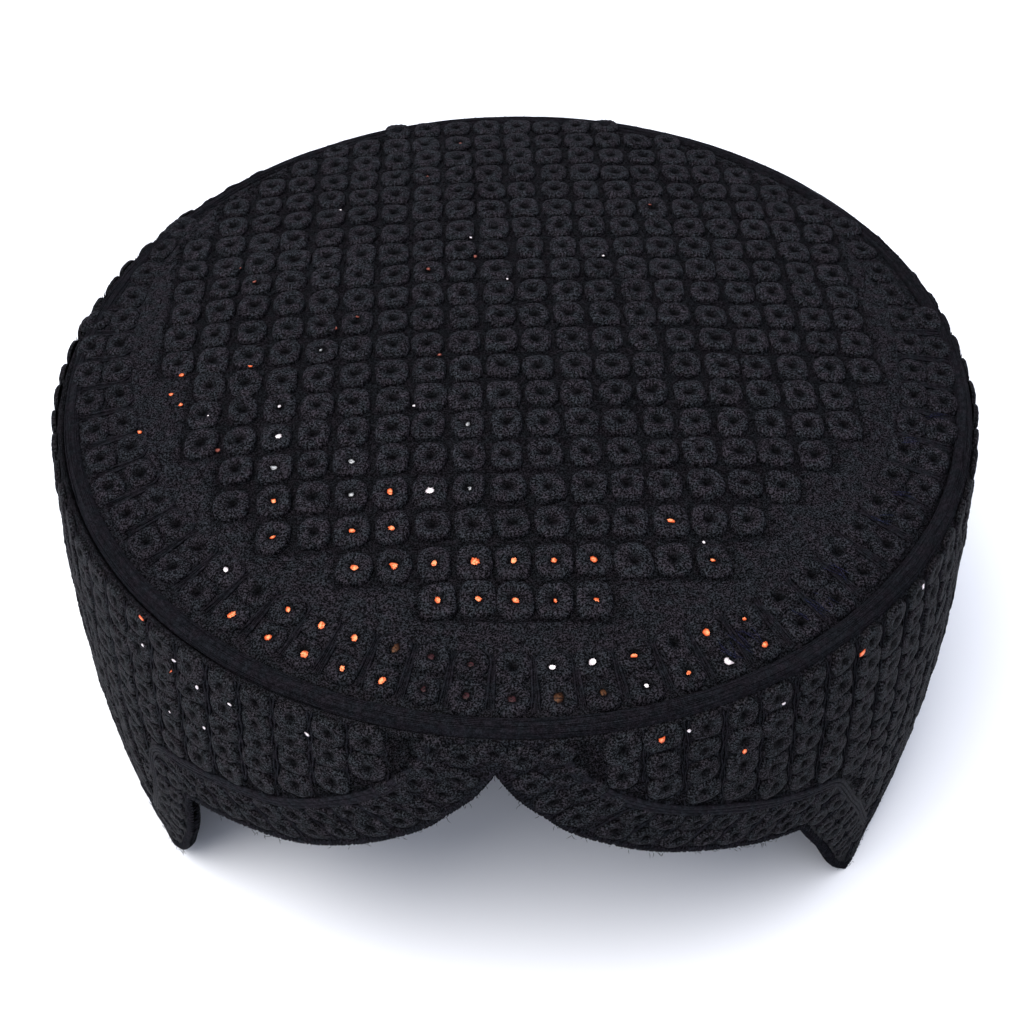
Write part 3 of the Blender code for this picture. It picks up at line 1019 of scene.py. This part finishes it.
# Materials
class Graph:
    """A material and short ways to add nodes. A socket takes a number, a colour or another's output."""

    def __init__(self, name):
        self.material = bpy.data.materials.new(name)
        self.material.use_nodes = True
        self.tree = self.material.node_tree
        self.shader = self.tree.nodes["Principled BSDF"]

    def fill(self, node, **values):
        """Fills sockets by name, _ for each space, or by number, as _0."""
        for name, value in values.items():
            key = int(name[1:]) if name[1:].isdigit() else name.replace("_", " ")
            socket = node.inputs[key]
            if isinstance(value, bpy.types.NodeSocket):
                self.tree.links.new(value, socket)
            else:
                socket.default_value = (*value, 1.0) if isinstance(value, tuple) else value

    def add(self, kind, output=0, settings=(), **values):
        node = self.tree.nodes.new("ShaderNode" + kind)
        for name, setting in settings:
            setattr(node, name, setting)
        self.fill(node, **values)
        return node.outputs[output]

    def noise(self, scale, detail=2.0):
        place = self.add("TexCoord", "Object")
        return self.add("TexNoise", "Fac", Vector=place, Scale=scale, Detail=detail)

    def stitch_map(self):
        """The share round a grid and the place along it."""
        split = self.add("SeparateXYZ", _0=self.add("UVMap", "UV", [("uv_map", "stitch")])).node
        return split.outputs["X"], split.outputs["Y"]

    def math(self, operation, first, second=0.0):
        return self.add("Math", settings=[("operation", operation)], _0=first, _1=second)

    def times(self, first, second):
        return self.math("MULTIPLY", first, second)

    def plus(self, first, second):
        return self.math("ADD", first, second)

    def spread(self, source, low, high, to_low=0.0, to_high=1.0):
        ends = {"From_Min": low, "From_Max": high, "To_Min": to_low, "To_Max": to_high}
        return self.add("MapRange", "Result", Value=source, **ends)

    def bump(self, height, distance, strength, **before):
        return self.add("Bump", "Normal", Height=height, Distance=distance, Strength=strength, **before)

    def mix(self, share, first, second, blend="MIX"):
        settings = [("data_type", "RGBA"), ("blend_type", blend)]
        return self.add("Mix", 2, settings, Factor=share, _6=first, _7=second)


DARK = (0.0005, 0.0005, 0.0008)
# Threads and cloths: dark tone, lit tone, radial stitches round each grid, plies of a cord for each metre,
# how far the points' tone and painted shade darken it, strength of its specks
CLOTHS = (
    ("eyelet_thread", DARK, (0.0355, 0.0348, 0.0420), 24.0, 0.0, 1.0, 1.0),
    ("band_thread", DARK, (0.0305, 0.0299, 0.0362), 24.0, 0.0, 1.0, 1.0),
    ("wall_thread", DARK, (0.0350, 0.0345, 0.0393), 24.0, 0.0, 1.0, 1.0),
    ("border_thread", DARK, (0.0303, 0.0299, 0.0346), 24.0, 0.0, 1.0, 1.0),
    ("fill_thread", DARK, (0.0262, 0.0256, 0.0310), 0.0, 0.0, 1.0, 1.0),
    ("cord_thread", DARK, (0.0152, 0.0149, 0.0190), 0.0, 500.0, 0.1, 0.5),
    ("laid_thread", DARK, (0.0150, 0.0147, 0.0188), 0.0, 0.0, 0.1, 0.6),
    ("edge_thread", DARK, (0.0150, 0.0146, 0.0192), 0.0, 0.0, 0.1, 1.0),
    ("blue_thread", (0.003, 0.003, 0.007), (0.019, 0.020, 0.044), 0.0, 0.0, 0.1, 1.0),
    ("ground_cloth", DARK, (0.0240, 0.0234, 0.0286), 0.0, 0.0, 1.0, 1.0),
)


def speckled_cloth(name, dark, light, stitches, strands, by_tone_and_shade, contrast):
    """Black cotton thread, dark and light from thread to thread, as a row of CLOTHS says. The specks are
    partly the threads' own tone and partly painted highlights, the flecks are painted glints, the stitches
    get painted shade in their valleys and painted highlights on their ridges, and the points' tone carries
    painted shade.
    """
    graph = Graph(name)
    spread, times, bump = graph.spread, graph.times, graph.bump
    fine = graph.noise(3200.0)
    middle = graph.noise(1100.0)
    # Sparse bright flecks: painted glints of the threads.
    painted_glint = spread(graph.noise(4700.0, 1.0), 0.66, 0.76, 0.0, 1.1)
    share = spread(fine, 0.45, 0.585, 1.0 - 0.98 * contrast, 1.0)
    share = times(share, spread(middle, 0.34, 0.66, 0.50, 1.0))
    tone_and_shade = graph.add("Attribute", "Fac", [("attribute_name", "tone_and_shade")])
    share = times(share, spread(tone_and_shade, 0.0, 1.0, 1.0 - by_tone_and_shade, 1.0))
    normal = bump(fine, 0.14 * MM, 0.9 * contrast, Normal=bump(middle, 0.22 * MM, 0.6))
    if stitches or strands:
        across, along = graph.stitch_map()
        phase = graph.plus(times(across, TURN * max(stitches, 1.0)), times(along, TURN * strands))
        phase = graph.plus(phase, times(middle, 6.5))
        ridge = spread(graph.math("SINE", phase), -1.0, 1.0)
        # Painted shade in the stitches' valleys and painted highlights on their ridges.
        share = times(share, spread(ridge, 0.0, 1.0, 0.68, 1.12))
        normal = bump(ridge, 0.08 * MM, 0.5, Normal=normal)
    share = graph.plus(share, times(painted_glint, share))
    cast = graph.mix(spread(graph.noise(430.0), 0.38, 0.62), (0.87, 1.0, 1.02), (1.02, 0.93, 1.0))
    colour = graph.mix(1.0, graph.mix(share, dark, light), cast, blend="MULTIPLY")
    graph.fill(graph.shader, Base_Color=colour, Normal=normal, Roughness=0.6, Specular_IOR_Level=0.02)
    return graph.material


def foil_material(name, colour, reflection_glow):
    """Mirror foil, uneven and deeper in tone at its rim. Its faint glow is a painted reflection: the light a
    chip throws back, given off by the foil itself.
    """
    graph = Graph(name)
    flaw = graph.noise(2600.0)
    inside = graph.spread(graph.stitch_map()[1], 0.69, 0.90)
    rim = tuple(0.50 * channel ** 1.6 for channel in colour)
    tone = graph.mix(graph.times(graph.spread(flaw, 0.36, 0.54), inside), rim, colour)
    graph.fill(
        graph.shader, Base_Color=tone, Emission_Color=tone, Emission_Strength=reflection_glow,
        Roughness=graph.spread(flaw, 0.3, 0.7, 0.40, 0.6), Normal=graph.bump(flaw, 0.05 * MM, 0.4),
        Metallic=0.1, Specular_IOR_Level=0.15,
    )
    return graph.material


# Studio
def make_floor():
    mesh = bpy.data.meshes.new("floor")
    corners = [(x, y, 0.0) for x, y in ((-3.0, -3.0), (3.0, -3.0), (3.0, 3.0), (-3.0, 3.0))]
    mesh.from_pydata(corners, [], [(0, 1, 2, 3)])
    floor = show("floor", mesh)
    graph = Graph("pale_floor")
    graph.fill(graph.shader, Base_Color=(0.84, 0.87, 0.94), Roughness=0.8, Specular_IOR_Level=0.2)
    mesh.materials.append(graph.material)


LIGHT_TARGET = (0.0, 0.0, 0.05)


def add_area_light(name, place, size, power, colour):
    """A round light that looks at the middle of the cap."""
    data = bpy.data.lights.new(name, "AREA")
    data.shape = "DISK"
    data.size = size
    data.energy = power
    data.color = colour
    light = show(name, data)
    light.location = place
    aim = Vector(LIGHT_TARGET) - Vector(place)
    light.rotation_euler = aim.to_track_quat("-Z", "Y").to_euler()


def make_lights():
    world = bpy.data.worlds.new("studio")
    world.use_nodes = True
    background = world.node_tree.nodes["Background"]
    background.inputs["Color"].default_value = (0.84, 0.88, 1.0, 1.0)
    background.inputs["Strength"].default_value = 0.95
    bpy.context.scene.world = world
    add_area_light("overhead", (-0.25, -0.35, 1.1), 0.9, 18.0, (1.0, 0.95, 0.87))
    add_area_light("front_left", (-0.9, -0.7, 0.5), 0.5, 1.6, (1.0, 0.96, 0.9))


CAMERA_TARGET = (0.75 * MM, -52.98 * MM, 91.96 * MM)
CAMERA_DISTANCE = 289.1 * MM
CAMERA_ELEVATION = math.radians(44.11)
CAMERA_AZIMUTH = math.radians(1.57)
CAMERA_ROLL = math.radians(-0.25)
CAMERA_LENS = 55.77
SENSOR = 36.0


def make_camera():
    data = bpy.data.cameras.new("camera")
    data.lens = CAMERA_LENS
    data.sensor_width = SENSOR
    data.clip_start = 0.01
    camera = show("camera", data)
    turn = Matrix.Rotation(CAMERA_AZIMUTH, 4, "Z") @ Matrix.Rotation(TURN / 4 - CAMERA_ELEVATION, 4, "X")
    turn = turn @ Matrix.Rotation(CAMERA_ROLL, 4, "Z")
    back = Matrix.Translation((0.0, 0.0, CAMERA_DISTANCE))
    camera.matrix_world = Matrix.Translation(CAMERA_TARGET) @ turn @ back
    bpy.context.scene.camera = camera


def build():
    make_camera()
    eyelet, band, wall, border, fill, cord, laid, edging, blue, ground = [
        speckled_cloth(*row) for row in CLOTHS
    ]
    make_crown_cloth(ground)
    make_field_eyelets(eyelet)
    make_band_eyelets(band)
    make_band_outlines(cord)
    make_band_dividers(laid)
    make_ring_fill(fill)
    make_blue_threads(blue)
    make_piping(cord)
    make_piping_threads(laid)
    make_wall_cloth(ground)
    make_wall_eyelets(wall)
    make_column_cords(cord)
    make_wall_fill(border)
    make_border_eyelets(border)
    make_border_outlines(cord)
    make_border_cords(cord)
    make_edge_binding(edging)
    make_binding_stitches(laid)
    make_loose_fibres(laid)
    make_chips({name: foil_material(name + "_foil", *values) for name, values in CHIP_COLOURS.items()})
    make_floor()
    make_lights()
    bpy.context.scene.view_settings.view_transform = "Standard"


build()
